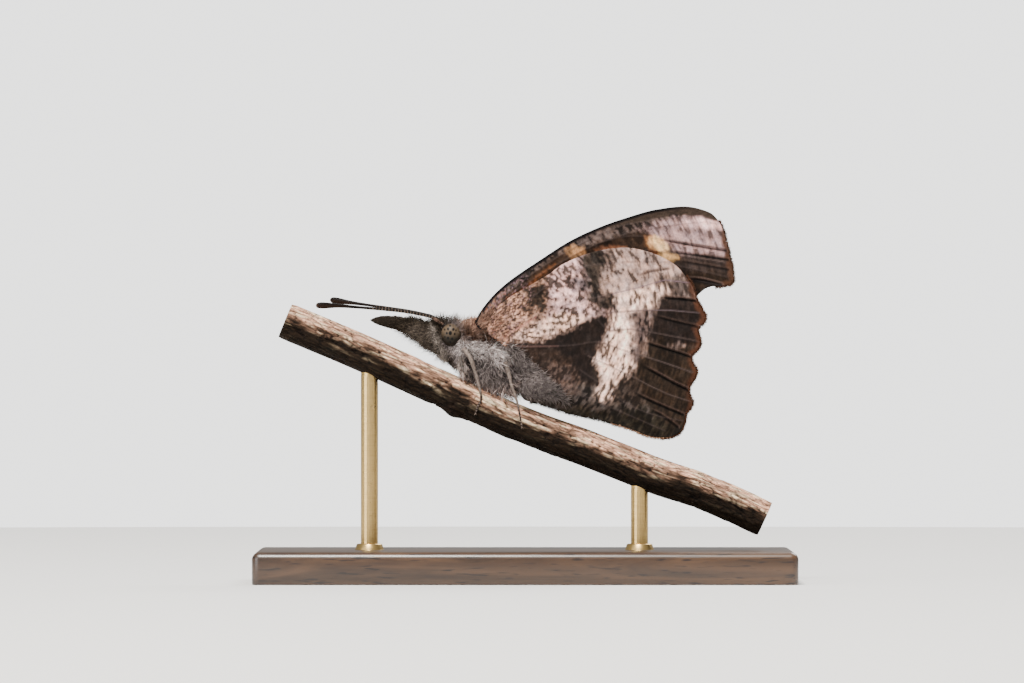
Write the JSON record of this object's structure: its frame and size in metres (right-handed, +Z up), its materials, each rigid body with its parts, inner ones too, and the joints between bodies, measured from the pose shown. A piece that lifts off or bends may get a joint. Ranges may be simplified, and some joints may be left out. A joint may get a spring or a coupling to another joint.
{
  "type": "dominican snout butterfly",
  "caption": "Life-size snout butterfly with closed, scalloped wings and long palps, gripping a cut twig held on a plain display stand.",
  "frame": {"origin": "the middle of the stand base's underside", "axes": "+X from the butterfly's head back along its body, +Y to its right side, +Z up"},
  "size_m": [0.05, 0.026, 0.0348],
  "materials": {
    "hair": "soft, hairy, matt",
    "eye": "glossy, faceted",
    "palp": "bristly, matt",
    "antenna": "satin",
    "forewing": "powdery scales, matt",
    "hindwing": "powdery scales, matt",
    "leg": "matt, finely scaled",
    "bark": "rough, furrowed bark",
    "walnut": "satin, oiled",
    "brass": "satin"
  },
  "bodies": {
    "root": {"head": "hair", "eye_left": "eye", "eye_right": "eye", "palp_left": "palp", "palp_right": "palp", "antenna_left": "antenna", "antenna_right": "antenna", "thorax": "hair", "abdomen": "hair", "forewing_left": "forewing", "forewing_right": "forewing", "hindwing_left": "hindwing", "hindwing_right": "hindwing", "foreleg_left": "leg", "foreleg_right": "leg", "midleg_left": "leg", "midleg_right": "leg", "hindleg_left": "leg", "hindleg_right": "leg", "twig_perch": "bark", "stand_base": "walnut", "stand_rod_front": "brass", "stand_rod_rear": "brass"}
  },
  "joints": []
}
